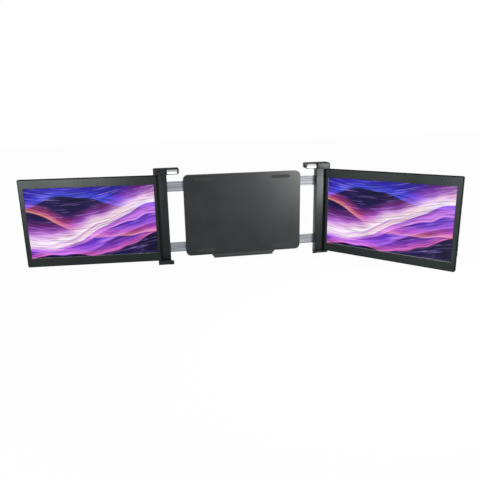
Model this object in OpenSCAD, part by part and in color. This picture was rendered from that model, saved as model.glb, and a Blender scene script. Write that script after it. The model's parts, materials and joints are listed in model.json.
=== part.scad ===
// Laptop screen extender: two 13.3 inch screens that hang beside a laptop's own display.
// A centre body lies behind the lid. Two arms slide out of it, hook over the lid's top edge
// and carry a folding screen each. A stand folds out of the centre body's back.
// Millimetres. X runs to the right, Y to the back and Z up. The origin is where the lid's top
// edge seats: midway between the hooks, at the lid's front face.

/* [Laptop lid] */
// Width of the lid that the arms are set to
lid_w = 365; // [300:1:385]
// Narrowest lid that the arms close on
lid_w_min = 291; // [280:1:300]
// Widest lid that the arms open to
lid_w_max = 389; // [385:1:400]
// Thickness of the gap that takes the lid
lid_t = 9; // [6:0.5:12]

/* [Screens] */
// Width of the picture
picture_w = 293.8; // [260:0.2:330]
// Height of the picture
picture_h = 165.2; // [150:0.2:190]
// Bezel beside the hinge
bezel_hinge = 8.4; // [7.8:0.1:9]
// Bezel beside the outer edge
bezel_outer = 11.2; // [9:0.1:16]
// Bezel above the picture
bezel_top = 21.5; // [20.5:0.5:23]
// Bezel below the picture
bezel_bottom = 21.3; // [20.3:0.5:28]
// Thickness of a screen's casing
screen_t = 9.6; // [9.4:0.1:12]
// Radius of the casing's corners
corner_r = 3.5; // [2:0.5:6]
// Gap between the lid's top edge and the screens' top
screen_drop = 10; // [9.6:0.1:14]
// Angle of the left screen, forward from flat
left_angle = -3.5; // [-40:0.5:60]
// Angle of the right screen, forward from flat
right_angle = 47; // [-40:1:60]

/* [Hinges] */
// Distance of the hinge axis past the lid's side edge
axis_gap = 26.9; // [26:0.1:32]
// Distance of the hinge axis from the casing's edge
axis_inset = 3.5; // [3.4:0.1:4]
// Distance from the left hinge axis forward to the right one
fold_step = 11; // [10:0.5:14]
// Diameter of the hinge pins
pin_d = 2.6; // [2:0.1:2.8]
// Outer diameter of the friction barrels on the pins
barrel_d = 4.3; // [3.9:0.1:4.3]
// Furthest that a screen folds back past flat
back_fold = 45; // [20:1:50]
// Height of the hinge housings
housing_h = 14; // [13:0.5:20]
// Height of the left foot
left_foot_h = 10; // [7:0.5:12]
// Height of the right foot
right_foot_h = 7.4; // [7:0.2:12]
// Thickness of the right foot's tongue in front of the lid
tongue_t = 3.6; // [2.8:0.2:5]

/* [Hooks] */
// Width of a hook along the lid
hook_w = 29; // [26:1:32]
// Thickness of the lip in front of the lid
lip_t = 3.6; // [2.4:0.2:5]
// Width of the metal plate in the lip
plate_w = 24; // [16:1:25]
// Height of the metal plate in the lip
plate_h = 9.2; // [8:0.2:10]
// Thickness of the metal plate
plate_t = 1; // [0.8:0.1:1.4]

/* [Centre body] */
// Distance of the centre body's ends from the screens' ends
body_inset = 4; // [1:0.5:8]
// Thickness of the centre body
body_t = 11.2; // [11.2:0.1:14]
// Radius of the centre body's corners
body_r = 12; // [4:1:14]
// Height of the telescoping arms
arm_h = 24; // [16:1:28]
// Thickness of the telescoping arms
arm_t = 1.6; // [1:0.1:1.8]
// Distance of the upper arm's middle from the centre body's top
upper_arm_inset = 26; // [23:1:45]
// Distance of the lower arm's middle from the centre body's bottom
lower_arm_inset = 24; // [22:1:45]

/* [Stand] */
// Width of the stand
stand_w = 160; // [100:1:166]
// How far the stand reaches below the centre body
stand_past = 12; // [0:1:20]
// Thickness of the stand
stand_t = 3.6; // [3:0.1:3.8]
// Distance of the stand's hinge from the centre body's top
stand_inset = 44; // [42:1:60]
// Diameter of the stand's hinge pins
stand_pin_d = 1.6; // [1.2:0.1:1.8]

/* [Buttons and ports] */
// Length of a button
button_len = 8; // [6:0.5:9]
// Width of a button
button_w = 2.8; // [2:0.1:2.8]
// Spacing of the buttons
button_pitch = 10; // [10:0.5:12]
// Height of the lowest button above the casing's bottom
button_rise = 39.5; // [30:0.5:45]
// How far a button stands out
button_proud = 0.8; // [0.6:0.1:1.2]
// How far a button travels
button_travel = 0.5; // [0.3:0.1:0.6]
// Distance of the lowest port above the highest button
port_rise = 20; // [16:1:30]
// Spacing of the ports
port_pitch = 16; // [14:0.5:18]

/* [Hidden] */
$fn = 48;
arm_pieces = ["upper_arm", "lower_arm", "pillar", "hinge_housing", "hook", "hook_plate",
              "hook_liner", "foot", "foot_pad", "hinge_pins", "arm_screws"];
screen_pieces = ["bezel", "back_cover", "display", "lcd_module", "driver_board", "ports",
                 "switches", "hinge_barrels", "screen_screws", "power_button", "plus_button",
                 "minus_button"];

// Fits
seat = 0.5;      // plastic stands this far off the lid
run = 0.3;       // gap between faces that pass each other
slip = 0.1;      // gap round a piece in its pocket
fit = 0.05;      // radial gap round pins and shanks
cut = 1;         // overrun of a cut past a face

// Screws: radius of the shank, length and radius of the head
body_screw = [1.3, 8, 2.6];
arm_screw = [1.5, 8, 2.8];
screen_screw = [1, 6, 1.9];

// Screen casing, in the frame of its hinge axis: x grows away from the lid
screen_w = bezel_hinge + picture_w + bezel_outer;
screen_h = bezel_top + picture_h + bezel_bottom;
x_in = -axis_inset;
x_out = screen_w - axis_inset;
z_top = -screen_drop;
z_low = z_top - screen_h;
half_t = screen_t / 2;
bezel_t = 2.6;
bezel_lip = 0.8;
seam_y = -half_t + bezel_t;
shell_wall = 1.2;
back_wall = 1.6;
shell_step = 0.8;
glass_t = 0.8;
module_rim = 2.7;
glass_y = -half_t + bezel_lip;
module_y = glass_y + glass_t;
board_t = 1.2;
board_lift = 0.4;
board_back = half_t - back_wall - board_lift;
board_y = board_back - board_t;
module_t = board_y - board_lift - module_y;
picture_x = x_in + bezel_hinge;
picture_z = z_top - bezel_top - picture_h;
front_bevel = 0.7;
back_bevel = 2.2;
window_bevel = 0.6;
edge_steps = 3;
button_z = [for (i = [0:2]) z_low + button_rise + i * button_pitch];
port_z = [for (i = [0:2]) button_z[2] + port_rise + i * port_pitch];
port_h = 3.2;
port_depth = 7;
port_back = 0.4;
port_wall = 0.3;
port_tongue_t = 0.7;
port_mouth = 0.8;
board_w = 28;
board_margin = 8;
board_x = x_out - board_w;
board_hole_x = board_x + 4;
board_hole_z = [button_z[0], port_z[2] + 2];
board_boss_r = 2.4;
chip_side = 12;
chip_t = 0.3;
chip_pitch = 22;
chip_x = board_x + 3;
chip_z = button_z[0] + 6;
button_flange = 0.8;
button_back = shell_wall + fit + button_flange;
board_edge = x_out - button_back - button_travel - slip;
stem_len = 0.4;
plunger_len = 0.4;
switch_front = button_back + stem_len + button_travel + fit + plunger_len;
switch_side = [2.6, 1.4, 4.4];
plunger_r = 0.8;
screw_edge = 8;
screw_from_hinge = 30;
screw_from_outer = 12;
screen_boss_r = 2.8;
screen_screw_at = [for (x = [x_in + screw_from_hinge, (x_in + x_out) / 2, x_out - screw_from_outer],
                        z = [z_low + screw_edge, z_top - screw_edge]) [x, z]];
rib_t = 1.2;
rib_margin = 6;
rib_pitch = (board_x - picture_x) / 5;
tray_step = 0.4;
tray_edge = 20;
tray_gap = 10;
tray_margin = 8;
tray_pitch = (picture_w - 2 * tray_edge + tray_gap) / 4;

// Hinges
axis_x = lid_w / 2 + axis_gap;
left_axis_y = lid_t - half_t;
sweep_r = norm([axis_inset, half_t]);
pin_r = pin_d / 2;
barrel_end = 1.4;
barrel_wall = 1.2;
barrel_len = bezel_top - module_rim - shell_wall - barrel_end;
pin_in_screen = shell_wall + barrel_len - 1;
housing_roof = 2.4;
pin_in_housing = housing_h - housing_roof;
pin_recess = 0.4;
screen_clear = 0.7;

// Arms, in the frame of the hinge axis
housing_z = z_top + screen_clear + slip;
foot_top = z_low - screen_clear;
arm_depth = 11;
arm_back = lid_t + arm_depth;
inner_x = seat - axis_gap;
outer_wall = 1;
outer_x = axis_inset + outer_wall;
ledge_in = -sweep_r - screen_clear;
pillar_y = lid_t + seat;
pillar_inner_bevel = 1;
pillar_outer_bevel = 2;
liner_t = 0.4;
liner_top_t = 0.8;
liner_end = 1;
lip_y = -lip_t - liner_t;
housing_top = housing_z + housing_h;
plate_sink = 0.6;
plate_side = 1;
plate_low = 2;
plate_r = 3.5;
plate_rim = 1.2;
plate_dish = 0.25;
hook_r = 5;
hinge_corner_r = 4;
top_bevel = 1.2;
foot_lip_w = 6.5;
foot_lip_t = 3.2;
foot_lip_root = 4;
foot_lip_r = 1.2;
pad_margin = 0.6;

// Centre body
body_w = lid_w_min - 1;
body_h = screen_h - 2 * body_inset;
body_top = z_top - body_inset;
body_low = body_top - body_h;
body_gap = 0.8;
body_y = lid_t + body_gap;
body_back = body_y + body_t;
body_bevel = 2;
arm_lift = 3.1;
arm_y = body_y + arm_lift;
body_mid_y = arm_y + arm_t / 2;
body_wall = 1.6;
recess_floor_t = 1.4;
recess_y = body_back - stand_t - 0.2;
stop_inset = 40;
stop_x = body_w / 2 - stop_inset;
stop_r = 2;
guide_len = 24;
guide_wall = 4;
guide_roof = 1;
guide_end = 1;
guide_x = body_w / 2 - body_wall - guide_end - guide_len / 2;
felt_inset = 4;
felt_margin = 3;
key_t = 1.2;
key_h = 1.4;
key_gap = 1;
mouth_depth = 5;
body_screw_inset = 45;
body_screw_x = body_w / 2 - body_screw_inset;
body_screw_edge = 6.5;
body_boss_r = 3.2;
body_screw_at = [for (s = [-1, 1], z = [body_top - body_screw_edge, body_top - body_h / 2,
                                        body_low + body_screw_edge]) [s * body_screw_x, z]];
pad_len = 46;
pad_w = 8;
pad_sink = 0.8;
pad_inset = 50;
pad_x = body_w / 2 - pad_inset;
pad_edge = 12;
pad_at = [for (x = [-pad_x, pad_x], z = [body_top - pad_edge, body_low + pad_edge]) [x, z]];

// Telescoping arms, in the frame of the hinge axis
arm_end = -9;
arm_overlap = 48;
arm_r = 2;
arm_start = body_w / 2 - arm_overlap - lid_w_max / 2 - axis_gap;
slot_start = stop_x - stop_r - slip - lid_w_max / 2 - axis_gap;
slot_end = stop_x + stop_r + slip - lid_w_min / 2 - axis_gap;
arm_screw_x = -18;
arm_screw_rise = 6;
upper_arm_z = body_top - upper_arm_inset;
lower_arm_z = body_low + lower_arm_inset;
arm_zs = [upper_arm_z, lower_arm_z];

// Stand
stand_y = body_back - stand_t / 2;
stand_z = body_top - stand_inset;
stand_low = body_low - stand_past;
stand_bore_depth = 12;
stand_pin_len = 16;
stand_gap = 0.6;
stand_r = 3;
stand_neck = 4;
well_x = stand_w / 2 + stand_gap;
well_top = stand_z + stand_t / 2 + stand_gap;
lug_h = stand_t + stand_gap;
lug_len = 6;
lug_in = well_x - lug_len;
window_side = 36;
window_top = stand_z - 34;
window_low = stand_low + 58;
window_r = 8;
stand_foot_h = 5;
stand_foot_side = 4;
stand_foot_r = 2;
key_side = 6;
key_half_t = 0.8;
key_rise = 2.4;

plastic = "#34373a";
plastic_light = "#4a4e51";
steel = "#a9adb1";
rubber = "#1b1c1d";

// Length of a port's mouth: two USB-C and one mini HDMI
function port_len(i) = i == 2 ? 11.2 : 9;
// Axis of a side's hinge: the right screen folds over the left one
function axis_y(side) = left_axis_y - (side == "right" ? fold_step : 0);
function angle(side) = side == "right" ? right_angle : left_angle;
// Front face of a side's hinge housing and foot
function front_y(side) = axis_y(side) - sweep_r - run;
function ledge_y(side) = axis_y(side) + sweep_r + run;
// Height of a side's foot, and its thickness round the pin
function foot_h(side) = side == "right" ? right_foot_h : left_foot_h;
function foot_t(side) = side == "right" ? tongue_t : left_foot_h;
function pin_in_foot(side) = foot_t(side) - pin_recess;

// A side's own frame, with its x at the hinge axis and growing away from the lid
module on_side(side) {
    mirror([side == "left" ? 1 : 0, 0, 0]) translate([axis_x, 0, 0]) children();
}

// The frame of a side's screen, with its origin on the hinge axis
module on_screen(side) {
    on_side(side) translate([0, axis_y(side), 0]) rotate([0, 0, -angle(side)]) children();
}

// Rectangle between two corners, with round corners
module round_rect(x0, y0, x1, y1, r) {
    translate([x0 + r, y0]) square([x1 - x0 - 2 * r, y1 - y0]);
    translate([x0, y0 + r]) square([x1 - x0, y1 - y0 - 2 * r]);
    for (x = [x0 + r, x1 - r], y = [y0 + r, y1 - r]) translate([x, y]) circle(r);
}

// Slot shape, centred, as wide as it says along x
module stadium(len, w) {
    square([len - w, w], center = true);
    for (s = [-1, 1]) translate([s * (len - w) / 2, 0]) circle(w / 2);
}

// Stands an outline of x and z upright, from y0 to y1
module upright(y0, y1) {
    translate([0, y1, 0]) rotate([90, 0, 0]) linear_extrude(y1 - y0) children();
}

// Upright plate whose edge at y_soft is rounded in steps and whose edge at y_hard is square
module rounded_plate(x0, z0, x1, z1, r, y_hard, y_soft, bevel) {
    way = sign(y_soft - y_hard);
    skin = 0.01;
    hull() {
        upright(min(y_hard, y_soft - way * bevel), max(y_hard, y_soft - way * bevel))
            round_rect(x0, z0, x1, z1, r, $fn = 32);
        for (a = [90 / edge_steps:90 / edge_steps:90]) {
            inset = bevel * (1 - cos(a));
            y = y_soft - way * bevel * (1 - sin(a));
            upright(min(y - way * skin, y), max(y - way * skin, y))
                round_rect(x0 + inset, z0 + inset, x1 - inset, z1 - inset, r - inset, $fn = 32);
        }
    }
}

// Countersunk screw along y, its head flush with the face at y = 0 and its tip towards -y
module screw(size) {
    r = size[0];
    len = size[1];
    head_r = size[2];
    head_h = head_r - r;
    slot_w = head_r * 0.28;
    rotate([90, 0, 0]) difference() {
        union() {
            cylinder(r1 = head_r, r2 = r, h = head_h);
            cylinder(r = r, h = len);
        }
        for (a = [0, 90]) rotate([0, 0, a])
            translate([-head_r * 0.6, -slot_w / 2, -cut]) cube([head_r * 1.2, slot_w, cut + head_h * 0.6]);
    }
}

// The hole that takes such a screw
module screw_hole(size) {
    rotate([90, 0, 0]) {
        cylinder(r1 = size[2] + fit, r2 = size[0] + fit, h = size[2] - size[0]);
        cylinder(r = size[0] + fit, h = size[1] + slip);
    }
}

// ---- Centre body ----

module body_outline(inset = 0) {
    round_rect(-body_w / 2 + inset, body_low + inset, body_w / 2 - inset, body_top - inset,
               body_r - inset);
}

// Cuts the mouths that the arms slide through, in both covers
module arm_mouths() {
    for (s = [-1, 1], z = arm_zs)
        translate([s * body_w / 2 - mouth_depth, arm_y - run / 2, z - arm_h / 2 - run])
            cube([2 * mouth_depth, arm_t + run, arm_h + 2 * run]);
}

module center_front_cover() color(plastic) difference() {
    union() {
        difference() {
            upright(body_y, body_mid_y) body_outline();
            upright(body_y + body_wall, body_mid_y + cut) body_outline(body_wall);
        }
        for (p = body_screw_at) translate([p[0], 0, p[1]])
            upright(body_y + body_wall, body_back - body_wall) circle(body_boss_r);
        // Keys that locate the guides
        for (s = [-1, 1], z = arm_zs, way = [-1, 1])
            translate([s * guide_x - guide_len / 2, body_y + body_wall,
                       z + way * (arm_h / 2 + guide_wall + key_gap + key_t / 2) - key_t / 2])
                cube([guide_len, key_h, key_t]);
    }
    arm_mouths();
    for (p = body_screw_at) translate([p[0], body_back, p[1]]) screw_hole(body_screw);
    for (p = pad_at) translate([p[0], body_y, p[1]])
        upright(-cut, pad_sink) stadium(pad_len, pad_w);
}

module center_rear_cover() color(plastic) difference() {
    union() {
        difference() {
            rounded_plate(-body_w / 2, body_low, body_w / 2, body_top, body_r,
                          body_mid_y, body_back, body_bevel);
            upright(body_mid_y - cut, body_back - body_wall) body_outline(body_wall);
        }
        // Well that the stand folds into
        intersection() {
            upright(recess_y - recess_floor_t, body_back - body_wall / 2)
                square_between(-well_x - body_wall, body_low, well_x + body_wall, well_top + body_wall);
            upright(body_mid_y, body_back) body_outline(body_wall / 2);
        }
        // Stops that run in the arms' slots
        for (s = [-1, 1], z = arm_zs) translate([s * stop_x, 0, z])
            upright(body_y + body_wall + slip, body_back - body_wall / 2) circle(stop_r);
    }
    arm_mouths();
    difference() {
        upright(recess_y, body_back + cut)
            square_between(-well_x, body_low - cut, well_x, well_top);
        // Lugs that hold the hinge pins
        for (s = [-1, 1]) translate([s * well_x - lug_len, 0, well_top - lug_h])
            upright(recess_y - cut, body_back) square([2 * lug_len, lug_h + cut]);
    }
    for (s = [-1, 1]) translate([s * lug_in, stand_y, stand_z]) rotate([0, s * 90, 0])
        cylinder(r = stand_pin_d / 2 + fit, h = stand_pin_len - stand_bore_depth + slip);
    for (p = body_screw_at) translate([p[0], body_back, p[1]]) {
        screw_hole(body_screw);
        rotate([90, 0, 0]) translate([0, 0, body_wall]) cylinder(r = body_boss_r + slip, h = body_t);
    }
}

module square_between(x0, y0, x1, y1) {
    translate([x0, y0]) square([x1 - x0, y1 - y0]);
}

// Channel blocks that the arms run in
module arm_guides() color("#d8d6cf")
    for (s = [-1, 1], z = arm_zs) translate([s * guide_x, 0, z])
        difference() {
            upright(body_y + body_wall, arm_y + arm_t + guide_roof)
                square([guide_len, arm_h + 2 * guide_wall], center = true);
            translate([-guide_len, arm_y - slip, -arm_h / 2 - slip])
                cube([2 * guide_len, arm_t + 2 * slip, arm_h + 2 * slip]);
            translate([-guide_len / 2 + felt_inset, body_y + body_wall - cut, -arm_h / 2 + felt_margin])
                cube([guide_len - 2 * felt_inset, cut + arm_lift - body_wall, arm_h - 2 * felt_margin]);
        }

// Felt that keeps an arm where it is set
module friction_pads() color("#5b5a57")
    for (s = [-1, 1], z = arm_zs) translate([s * guide_x, 0, z])
        upright(body_y + body_wall, arm_y - fit)
            square([guide_len - 2 * felt_inset - 2 * slip, arm_h - 2 * felt_margin - 2 * slip],
                   center = true);

module lid_pads() color(rubber)
    for (p = pad_at) translate([p[0], body_y, p[1]])
        upright(-seat, pad_sink) stadium(pad_len - 2 * slip, pad_w - 2 * slip);

module center_screws() color(steel)
    for (p = body_screw_at) translate([p[0], body_back, p[1]]) screw(body_screw);

// ---- Stand ----

module stand_pins() color(steel)
    for (s = [-1, 1]) translate([s * (lug_in - stand_bore_depth), stand_y, stand_z])
        rotate([0, s * 90, 0]) cylinder(r = stand_pin_d / 2, h = stand_pin_len);

module stand() color(plastic_light) difference() {
    union() {
        upright(stand_y - stand_t / 2, stand_y + stand_t / 2) difference() {
            round_rect(-stand_w / 2, stand_low + stand_foot_h, stand_w / 2, stand_z - lug_h, stand_r);
            round_rect(-stand_w / 2 + window_side, window_low, stand_w / 2 - window_side, window_top,
                       window_r);
        }
        // Barrel round the hinge pins, and the neck that carries it
        translate([-lug_in + run, stand_y, stand_z]) rotate([0, 90, 0])
            cylinder(r = stand_t / 2, h = 2 * (lug_in - run));
        upright(stand_y - stand_t / 2, stand_y + stand_t / 2)
            square_between(-lug_in + run, stand_z - lug_h - stand_neck, lug_in - run, stand_z);
    }
    for (s = [-1, 1]) translate([s * (lug_in - stand_bore_depth - slip), stand_y, stand_z])
        rotate([0, s * 90, 0]) cylinder(r = stand_pin_d / 2 + fit, h = stand_bore_depth + cut);
    // Tongue groove that holds the rubber foot
    upright(stand_y - key_half_t, stand_y + key_half_t)
        square_between(-stand_w / 2 + key_side, stand_low, stand_w / 2 - key_side,
                       stand_low + stand_foot_h + key_rise + slip);
}

module stand_foot() color(rubber) {
    upright(stand_y - stand_t / 2, stand_y + stand_t / 2)
        round_rect(-stand_w / 2 + stand_foot_side, stand_low, stand_w / 2 - stand_foot_side,
                   stand_low + stand_foot_h, stand_foot_r);
    upright(stand_y - key_half_t + fit, stand_y + key_half_t - fit)
        square_between(-stand_w / 2 + key_side + slip, stand_low + stand_foot_h / 2,
                       stand_w / 2 - key_side - slip, stand_low + stand_foot_h + key_rise);
}

// ---- Arms ----

// Flat steel bar with the slot that its stop runs in
module slide_bar(side, mid_z) color(steel) on_side(side) difference() {
    upright(arm_y, arm_y + arm_t) difference() {
        round_rect(arm_start, mid_z - arm_h / 2, arm_end, mid_z + arm_h / 2, arm_r);
        translate([(slot_start + slot_end) / 2, mid_z])
            stadium(slot_end - slot_start, 2 * (stop_r + slip));
    }
    for (way = [-1, 1]) translate([arm_screw_x, arm_back, mid_z + way * arm_screw_rise])
        screw_hole(arm_screw);
}

module upper_arm(side) slide_bar(side, upper_arm_z);
module lower_arm(side) slide_bar(side, lower_arm_z);

// Upright between the housing and the foot. Its bevelled outer edge stops the screen's back.
// On the left a folded screen passes in front of it, and on the right it reaches the ledge.
module pillar(side) color(plastic) on_side(side) {
    front = min(pillar_y, ledge_y(side));
    step = front < ledge_y(side) ? [[ledge_in, front], [ledge_in, ledge_y(side)]] : [];
    reach = half_t + run;
    rise = ledge_y(side) - axis_y(side);
    bevel_x = (rise * cos(back_fold) - reach) / sin(back_fold);
    bevel_y = axis_y(side) + (reach + outer_x * sin(back_fold)) / cos(back_fold);
    difference() {
        translate([0, 0, foot_top]) linear_extrude(housing_z - foot_top)
            polygon(concat([[inner_x, front + pillar_inner_bevel], [inner_x + pillar_inner_bevel, front]],
                           step,
                           [[bevel_x, ledge_y(side)], [outer_x, bevel_y],
                            [outer_x, arm_back - pillar_outer_bevel],
                            [outer_x - pillar_outer_bevel, arm_back],
                            [inner_x + pillar_inner_bevel, arm_back],
                            [inner_x, arm_back - pillar_inner_bevel]]));
        for (z = arm_zs) {
            translate([inner_x - cut, arm_y - fit, z - arm_h / 2 - fit])
                cube([arm_end + slip - inner_x + cut, arm_t + 2 * fit, arm_h + 2 * fit]);
            for (way = [-1, 1]) translate([arm_screw_x, arm_back, z + way * arm_screw_rise])
                screw_hole(arm_screw);
        }
    }
}

// Outline that the housing and the foot share: square beside the lid and round at the outer end
module hinge_outline(side, x_in = inner_x) {
    round_rect(x_in, front_y(side), outer_x, arm_back, hinge_corner_r);
    square_between(x_in, front_y(side), x_in + 2 * hinge_corner_r, arm_back);
}

// Block on an outline without hollows, with its top edge bevelled
module bevelled_block(h, bevel) {
    hull() {
        linear_extrude(h - bevel) children();
        linear_extrude(h) intersection_for(way = [[1, 1], [1, -1], [-1, 1], [-1, -1]])
            translate(bevel * way) children();
    }
}

module hinge_housing(side) color(plastic_light) on_side(side) difference() {
    translate([0, 0, housing_z]) intersection() {
        bevelled_block(housing_h, top_bevel) hinge_outline(side, inner_x - 2 * top_bevel, $fn = 32);
        translate([inner_x, -lid_w, -cut]) cube([lid_w, 2 * lid_w, housing_h + 2 * cut]);
    }
    translate([0, axis_y(side), housing_z - cut])
        cylinder(r = pin_r + fit, h = cut + pin_in_housing);
}

// Block beside the lid. On the right a thinner tongue reaches forward to the hinge.
module foot(side) color(plastic_light) on_side(side) difference() {
    union() {
        translate([0, 0, foot_top - foot_h(side)]) linear_extrude(foot_h(side)) {
            intersection() {
                hinge_outline(side);
                square_between(inner_x, front_y("left"), outer_x, arm_back);
            }
            foot_lip(-foot_lip_t - liner_t);
        }
        translate([0, 0, foot_top - foot_t(side)]) linear_extrude(foot_t(side)) {
            hinge_outline(side);
            foot_lip(min(-foot_lip_t - liner_t, front_y(side)));
        }
    }
    translate([0, axis_y(side), foot_top - foot_h(side) - cut])
        cylinder(r = pin_r + fit, h = foot_h(side) + 2 * cut);
}

// Lip of a foot in front of the lid's side edge, from its front face to the lid
module foot_lip(front) {
    round_rect(inner_x - foot_lip_w, front, inner_x + foot_lip_root, -liner_t, foot_lip_r);
}

module foot_pad(side) color(rubber) on_side(side)
    translate([inner_x - seat, pad_margin, foot_top - foot_h(side) + pad_margin])
        cube([seat, lid_t - 2 * pad_margin, foot_h(side) - 2 * pad_margin]);

// Hook over the lid's top edge: lip, bridge and rear tab
module hook(side) color(plastic_light) on_side(side) difference() {
    intersection() {
        union() {
            upright(lip_y, -liner_t) hook_outline();
            upright(pillar_y, arm_back) hook_outline();
            upright(lip_y, arm_back) intersection() {
                hook_outline();
                square_between(inner_x - hook_w, liner_top_t, inner_x, housing_top);
            }
        }
        translate([0, 0, housing_z]) bevelled_block(housing_h, top_bevel)
            square_between(inner_x - hook_w, lip_y, inner_x + 2 * top_bevel, arm_back);
    }
    upright(lip_y - cut, lip_y + plate_sink) plate_outline(slip);
}

// Front outline of a hook: round at its lower free corner and square elsewhere
module hook_outline() {
    round_rect(inner_x - hook_w, housing_z, inner_x, housing_top, hook_r);
    square_between(inner_x - 2 * hook_r, housing_z, inner_x, housing_top);
    square_between(inner_x - hook_w, housing_z + hook_r, inner_x, housing_top);
}

// Plate with a straight top and two round lower corners
module plate_outline(grow) {
    x0 = inner_x - plate_side - plate_w;
    z0 = housing_z + plate_low;
    r = plate_r + grow;
    round_rect(x0 - grow, z0 - grow, x0 + plate_w + grow, z0 + plate_h + grow, r);
    square_between(x0 - grow, z0 + plate_h / 2, x0 + plate_w + grow, z0 + plate_h + grow);
}

module hook_plate(side) color("#c9ccd0") on_side(side) difference() {
    upright(lip_y + plate_sink - plate_t, lip_y + plate_sink) plate_outline(0);
    // Shallow dish inside a raised rim
    upright(lip_y + plate_sink - plate_t - cut, lip_y + plate_sink - plate_t + plate_dish)
        intersection_for(way = [[1, 1], [-1, -1], [-1, 1], [1, -1]])
            translate(plate_rim * way) plate_outline(0);
}

// Rubber under the bridge and behind the lip
module hook_liner(side) color(rubber) on_side(side)
    translate([inner_x - hook_w + liner_end, 0, 0]) rotate([90, 0, 90])
        linear_extrude(hook_w - 2 * liner_end) {
            square_between(-liner_t, 0, pillar_y, liner_top_t);
            square_between(-liner_t, housing_z + liner_end, 0, liner_top_t);
        }

module hinge_pins(side) color(steel) on_side(side) translate([0, axis_y(side), 0]) {
    translate([0, 0, z_top - pin_in_screen])
        cylinder(r = pin_r, h = housing_z + pin_in_housing - z_top + pin_in_screen);
    translate([0, 0, foot_top - pin_in_foot(side)])
        cylinder(r = pin_r, h = screen_clear + pin_in_screen + pin_in_foot(side));
}

module arm_screws(side) color(steel) on_side(side)
    for (z = arm_zs, way = [-1, 1])
        translate([arm_screw_x, arm_back, z + way * arm_screw_rise]) screw(arm_screw);

// ---- Screens ----

module bezel(side) color(plastic) on_screen(side) difference() {
    rounded_plate(x_in, z_low, x_out, z_top, corner_r, seam_y, -half_t, front_bevel);
    upright(-half_t - cut, seam_y + cut) picture_outline(0);
    // Sloping edge round the window
    hull() {
        upright(-half_t - window_bevel, -half_t) picture_outline(window_bevel);
        upright(-half_t, -half_t + window_bevel) picture_outline(0);
    }
    upright(glass_y, seam_y + cut) module_outline(slip);
}

module picture_outline(grow) {
    square_between(picture_x - grow, picture_z - grow,
                   picture_x + picture_w + grow, picture_z + picture_h + grow);
}

module module_outline(grow) picture_outline(module_rim + grow);

module display(side) color("#4b2f8f") on_screen(side)
    upright(glass_y, glass_y + glass_t) module_outline(0);

// Backlight in its metal tray
module lcd_module(side) color(steel) on_screen(side) {
    upright(module_y, module_y + module_t - tray_step) module_outline(0);
    for (i = [0:3]) translate([picture_x + tray_edge + i * tray_pitch, 0, 0])
        upright(module_y + module_t - tray_step, module_y + module_t)
            square_between(0, picture_z + tray_margin, tray_pitch - tray_gap,
                           picture_z + picture_h - tray_margin);
}

module shell_outline(inset) {
    round_rect(x_in + inset, z_low + inset, x_out - inset, z_top - inset, max(corner_r - inset, 0.5));
}

module back_cover(side) color(plastic) on_screen(side) difference() {
    union() {
        difference() {
            rounded_plate(x_in, z_low, x_out, z_top, corner_r, seam_y, half_t, back_bevel);
            upright(seam_y - cut, half_t - back_wall) shell_outline(shell_wall + shell_step);
            upright(seam_y - cut, half_t - back_wall - shell_step) shell_outline(shell_wall);
        }
        // Seats round the hinge barrels
        for (z = [z_low + shell_wall / 2, z_top - shell_wall / 2 - barrel_len - barrel_wall])
            upright(seam_y, half_t - back_wall / 2)
                square_between(x_in + shell_wall / 2, z, barrel_d / 2 + barrel_wall,
                               z + barrel_len + barrel_wall);
        // Screw bosses
        for (p = screen_screw_at) translate([p[0], 0, p[1]])
            upright(seam_y, half_t - back_wall / 2) circle(screen_boss_r);
        // Ribs behind the backlight tray
        for (i = [1:4]) upright(module_y + module_t, half_t - back_wall / 2)
            square_between(picture_x + i * rib_pitch, picture_z + rib_margin,
                           picture_x + i * rib_pitch + rib_t, picture_z + picture_h - rib_margin);
        // Standoffs under the board
        for (z = board_hole_z) translate([board_hole_x, 0, z])
            upright(board_back, half_t - back_wall / 2) circle(board_boss_r);
    }
    for (z = [z_low + shell_wall + slip, z_top - shell_wall - slip - barrel_len])
        translate([0, 0, z]) cylinder(r = barrel_d / 2 + fit, h = barrel_len);
    for (z = [z_low - cut, z_top - shell_wall - cut])
        translate([0, 0, z]) cylinder(r = pin_r + fit, h = shell_wall + 2 * cut);
    for (p = screen_screw_at) translate([p[0], half_t, p[1]]) screw_hole(screen_screw);
    for (z = button_z) on_edge(z, 3 * shell_wall) stadium(button_len + 2 * slip, button_w + 2 * slip);
    for (i = [0:2]) on_edge(port_z[i], 3 * shell_wall) stadium(port_len(i) + run, port_h + run);
}

// Places an outline on the casing's outer edge at height z: its x runs along the edge
module on_edge(z, depth) {
    translate([x_out + depth / 2, 0, z]) rotate([0, -90, 0]) linear_extrude(depth) children();
}

module driver_board(side) color("#1f5a3a") on_screen(side) {
    upright(board_y, board_back)
        square_between(board_x, button_z[0] - board_margin, board_edge, port_z[2] + board_margin);
    for (i = [0:2]) translate([chip_x, 0, chip_z + i * chip_pitch])
        upright(board_y - chip_t, board_y) square(chip_side);
}

module ports(side) color(steel) on_screen(side)
    for (i = [0:2]) translate([x_out - port_back, board_y - port_h / 2, port_z[i]])
        rotate([0, -90, 0]) difference() {
            linear_extrude(port_depth) stadium(port_len(i), port_h);
            translate([0, 0, -cut]) linear_extrude(cut + port_depth - port_mouth) difference() {
                stadium(port_len(i) - 2 * port_wall, port_h - 2 * port_wall);
                square([port_len(i) - 2 * port_mouth - 2 * port_wall, port_tongue_t], center = true);
            }
            // The tongue ends just inside the mouth
            translate([0, 0, -cut]) linear_extrude(cut + port_mouth)
                stadium(port_len(i) - 2 * port_wall, port_h - 2 * port_wall);
        }

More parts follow.
